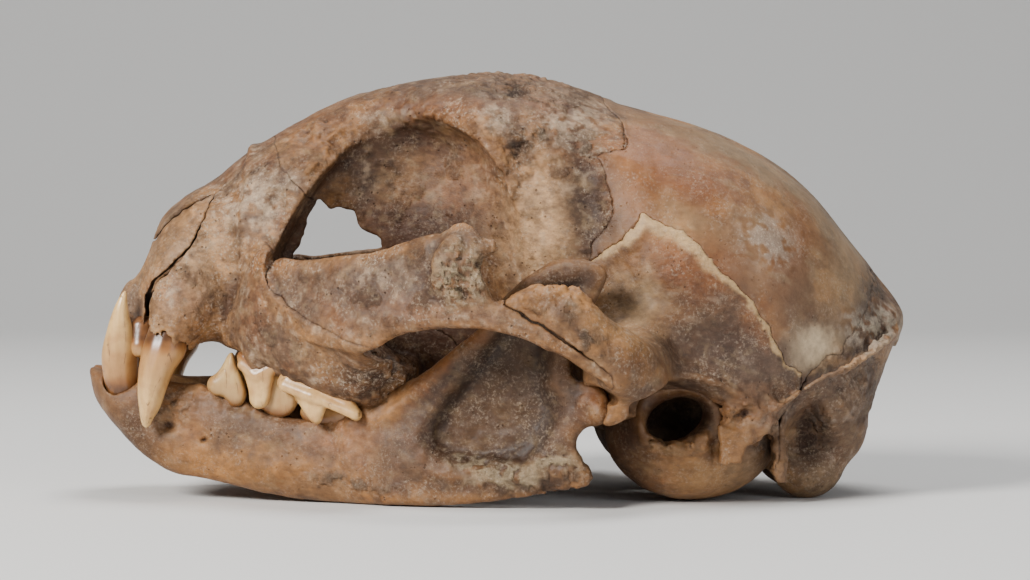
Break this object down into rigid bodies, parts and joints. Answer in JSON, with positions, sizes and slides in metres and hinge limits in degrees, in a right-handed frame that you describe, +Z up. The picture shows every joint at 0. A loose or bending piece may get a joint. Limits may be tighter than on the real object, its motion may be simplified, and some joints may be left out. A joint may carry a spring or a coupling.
{
  "type": "cat skull",
  "caption": "Life-size dry skull of an adult cat with its lower jaw almost closed, resting on the jaw, the ear bullae and the neck joint.",
  "frame": {"origin": "on the floor at the centre of the skull's footprint, in its plane of symmetry", "axes": "+X towards the nape (the nose points to -X), +Y towards the skull's right side, +Z up"},
  "size_m": [0.098, 0.0674, 0.0503],
  "materials": {
    "bone": "dry unglazed bone, mottled tan, grey-brown and orange-brown, with worn pale edges, grey sediment and fine pits",
    "enamel": "cream tooth enamel, slightly glossy, warmer towards the roots, with fine lengthwise cracks"
  },
  "bodies": {
    "root": {"incisive_bone_left": "bone", "incisive_bone_right": "bone", "nasal_bone_left": "bone", "nasal_bone_right": "bone", "maxilla_left": "bone", "maxilla_right": "bone", "palatine_bone_left": "bone", "palatine_bone_right": "bone", "frontal_bone_left": "bone", "frontal_bone_right": "bone", "parietal_bone_left": "bone", "parietal_bone_right": "bone", "temporal_bone_left": "bone", "temporal_bone_right": "bone", "ear_bulla_left": "bone", "ear_bulla_right": "bone", "cheekbone_left": "bone", "cheekbone_right": "bone", "lower_jaw_left": "bone", "lower_jaw_right": "bone", "upper_canine_left": "enamel", "upper_canine_right": "enamel", "lower_canine_left": "enamel", "lower_canine_right": "enamel", "occipital_bone": "bone", "sphenoid_bone": "bone"}
  },
  "joints": []
}
